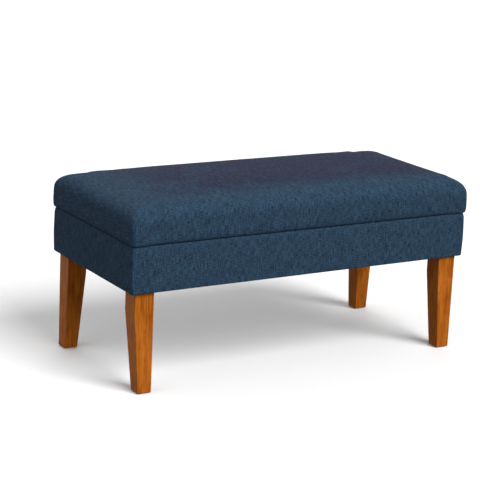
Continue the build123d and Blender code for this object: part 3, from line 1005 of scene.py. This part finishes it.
# ---- linings ----
def wall_lining():
    """Black lining round the inside of the box, hemmed at its top edge."""
    wall = -(HALF_LENGTH - lining_high.x)
    top = lining_high.z - 0.5 * MM
    foot = lining_low.z + 0.6 * MM
    near = wall - 0.35 * MM
    far = wall - 1.75 * MM
    rows = 8
    profile = [(near, top - HEM), (near, top - HEM / 2)]
    profile += arc((near + far) / 2, top - 0.7 * MM, 0.7 * MM, 0, 180, 4)
    profile += [(far, top - HEM / 2), (far, top - HEM), (far + 0.5 * MM, top - HEM - 2 * MM)]
    start = top - HEM - 2 * MM
    profile += [(far + 0.5 * MM, start - (start - foot) * i / rows) for i in range(1, rows + 1)]
    band = swept_band("storage_wall_lining", profile, cells=12 * MM)
    turn_faces(band, outwards=False)
    ripple_lining(band, foot, start)
    smooth(band)
    add_modifier(band, "SOLIDIFY", thickness=0.5 * MM, offset=-1)
    finish(band, materials["lining"])
    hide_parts("wall_lining")
    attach(band, "base")


def ripple_lining(band, foot, top):
    """Lets the lining stand off the walls a little, between its hem and the floor."""
    spots = points_of(band)
    fade = 15 * MM
    height = spots[:, 2]
    share = smooth_step((height - foot) / fade) * smooth_step((top - height) / fade)
    out = 0.5 + 0.5 * soft_waver(spots, 90 * MM, 1.0, 12)
    reach = 1.6 * MM * out * share
    end = lining_high.x - np.abs(spots[:, 0]) < lining_high.y - np.abs(spots[:, 1])
    spots[:, 0] -= np.where(end, np.sign(spots[:, 0]) * reach, 0)
    spots[:, 1] -= np.where(end, 0, np.sign(spots[:, 1]) * reach)
    put_points(band, spots)


def flat_cloth(name, low, high, height, cells):
    """A level rectangle of cloth as a grid."""
    start_clean()
    size = high - low
    bpy.ops.mesh.primitive_grid_add(
        x_subdivisions=round(size.x / cells), y_subdivisions=round(size.y / cells), size=1,
        location=(0, 0, 0),
    )
    cloth = named(name)
    cloth.scale = (size.x, size.y, 1)
    cloth.location = ((low.x + high.x) / 2, (low.y + high.y) / 2, height)
    into_mesh(cloth)
    return cloth


def storage_floor_lining():
    """Lining laid on the box's floor, its edges turned up a little against the walls."""
    cloth = flat_cloth("storage_floor_lining", floor_low, floor_high, floor_high.z, 12 * MM)
    spots = points_of(cloth)
    edge = np.minimum(floor_high.x - np.abs(spots[:, 0]), floor_high.y - np.abs(spots[:, 1]))
    spots[:, 2] += soft_waver(spots, 150 * MM, 1.0 * MM, 31) * smooth_step(edge / (30 * MM))
    spots[:, 2] += np.where(edge < 0.1 * MM, 0.8 * MM, 0)
    put_points(cloth, spots)
    smooth(cloth)
    add_modifier(cloth, "SOLIDIFY", thickness=0.9 * MM, offset=-1)
    finish(cloth, materials["lining"])
    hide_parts("floor_lining")
    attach(cloth, "base")


def staple_places(name):
    """The middle of each staple of a node, from its separate crowns."""
    staple_reach = 14 * MM
    spots = points_of(nodes[name])
    left = list(range(len(spots)))
    places = []
    while left:
        first = spots[left[0]]
        near = [i for i in left if np.hypot(*(spots[i] - first)[:2]) < staple_reach]
        places.append(spots[near].mean(axis=0))
        left = [i for i in left if i not in set(near)]
    return np.array(places)


def pull_at_staples(cloth, places, depth, reach):
    """Sags the cloth between its staples, where it is held tight."""
    spots = points_of(cloth)
    near = np.min(np.hypot(
        spots[:, None, 0] - places[None, :, 0], spots[:, None, 1] - places[None, :, 1],
    ), axis=1)
    spots[:, 2] -= depth * smooth_step(near / reach)
    put_points(cloth, spots)


def dust_cloth():
    """The black cloth stapled under the box, cut away round the legs."""
    level = dust_high.z - 0.2 * MM
    leg_gap = 3 * MM
    cloth = flat_cloth("underside_dust_cloth", dust_low, dust_high, level, 11 * MM)
    leg_low, leg_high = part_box("leg_front_right")
    cut_x = leg_low.x - leg_gap
    cut_y = -leg_high.y - leg_gap
    edit(cloth)
    for axis, cut in ((0, cut_x), (1, cut_y)):
        for side in (1, -1):
            spot = [0, 0, 0]
            way = [0, 0, 0]
            spot[axis] = side * cut
            way[axis] = 1
            bpy.ops.mesh.select_all(action="SELECT")
            bpy.ops.mesh.bisect(plane_co=spot, plane_no=way)
    bpy.ops.object.mode_set(mode="OBJECT")
    keep_faces(cloth, lambda c: abs(c.x) < cut_x or abs(c.y) < cut_y)
    pull_at_staples(cloth, staple_places("dust_cover_staples"), 1.6 * MM, 60 * MM)
    spots = points_of(cloth)
    spots[:, 2] -= 0.4 * MM + soft_waver(spots, 120 * MM, 0.4 * MM, 17)
    put_points(cloth, spots)
    smooth(cloth)
    add_modifier(cloth, "SOLIDIFY", thickness=0.4 * MM, offset=0)
    finish(cloth, materials["dust"])
    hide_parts("dust_cover")
    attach(cloth, "base")


def lid_underside_lining():
    """The lining stapled over the lid's board, its hem folded under."""
    level = under_low.z + 0.3 * MM
    cloth = flat_cloth("lid_underside_lining", under_low, under_high, level, 11 * MM)
    places = staple_places("lid_staples")
    spots = points_of(cloth)
    edge = np.minimum(under_high.x - np.abs(spots[:, 0]), under_high.y - np.abs(spots[:, 1]))
    spots[:, 2] -= 0.5 * MM * smooth_step(1 - (edge - HEM) / (3 * MM))
    put_points(cloth, spots)
    pull_at_staples(cloth, places, 0.5 * MM, 30 * MM)
    spots = points_of(cloth)
    spots[:, 2] -= 0.2 * MM + soft_waver(spots, 110 * MM, 0.4 * MM, 44)
    put_points(cloth, spots)
    smooth(cloth)
    flip(cloth)
    add_modifier(cloth, "SOLIDIFY", thickness=0.4 * MM, offset=-1)
    finish(cloth, materials["lining"])
    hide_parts("lid_lining")
    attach(cloth, "lid")


# ---- finishes for the frame's own parts ----
def dress_frame():
    """Gives each part that keeps its own shape the finish of the real one."""
    kinds = (
        ("leg_front_left", "wood"), ("leg_front_right", "wood"),
        ("leg_rear_left", "wood"), ("leg_rear_right", "wood"),
        ("front_panel", "ply_y"), ("back_panel", "ply_y"),
        ("left_panel", "ply_x"), ("right_panel", "ply_x"),
        ("floor_panel", "ply_z"), ("lid_board", "ply_z"),
        ("lid_bumpers", "rubber"), ("foot_glides", "nylon"),
        ("dust_cover_staples", "staple"), ("lid_staples", "staple"),
        ("wall_screws", "screw"), ("floor_screws", "screw"), ("leg_bolts", "screw"),
        ("leg_tee_nuts", "screw"), ("hinge_base_screws", "screw"), ("hinge_lid_screws", "screw"),
        ("hinge_friction_sleeves", "spring"),
    )
    for name, kind in kinds:
        finish(nodes[name], materials[kind])
    for name, obj in nodes.items():
        if name.endswith(("_leaf", "_pin")):
            finish(obj, materials["hinge"])


materials = {
    "cloth": navy_linen_weave(),
    "wood": honey_stained_rubberwood(),
    "ply_x": birch_plywood(0),
    "ply_y": birch_plywood(1),
    "ply_z": birch_plywood(2),
    "wadding": polyester_wadding(),
    "foam": polyurethane_foam(),
    "lining": spun_nonwoven("black_spun_lining", "#15161a", "#33353b", 2.4 * MM),
    "dust": spun_nonwoven("black_dust_cloth", "#0e0f11", "#26272b", 3.2 * MM),
    "hinge": plated_steel("zinc_plated_steel", ("#85888c", "#a3a6aa"), 0.34, 0.6 * MM),
    "screw": plated_steel("zinc_plated_screw", ("#8d8a7e", "#aba796"), 0.3, 0.4 * MM),
    "staple": plated_steel("galvanised_wire", ("#a5a6a8", "#c6c7c9"), 0.3, 0.3 * MM),
    "spring": plated_steel("blued_spring_steel", ("#3c3d42", "#55575e"), 0.28, 0.3 * MM),
    "rubber": moulded_polymer("black_rubber", "#121212", "#222222", 0.75, 0.8 * MM),
    "nylon": moulded_polymer("brown_nylon", "#2c221b", "#3d3027", 0.45, 0.5 * MM),
}

set_camera()
set_studio()
cover = lid_cushion()
finish_lid_cover(cover)
box_wadding()
box_upholstery()
wall_lining()
storage_floor_lining()
dust_cloth()
lid_underside_lining()
dress_frame()
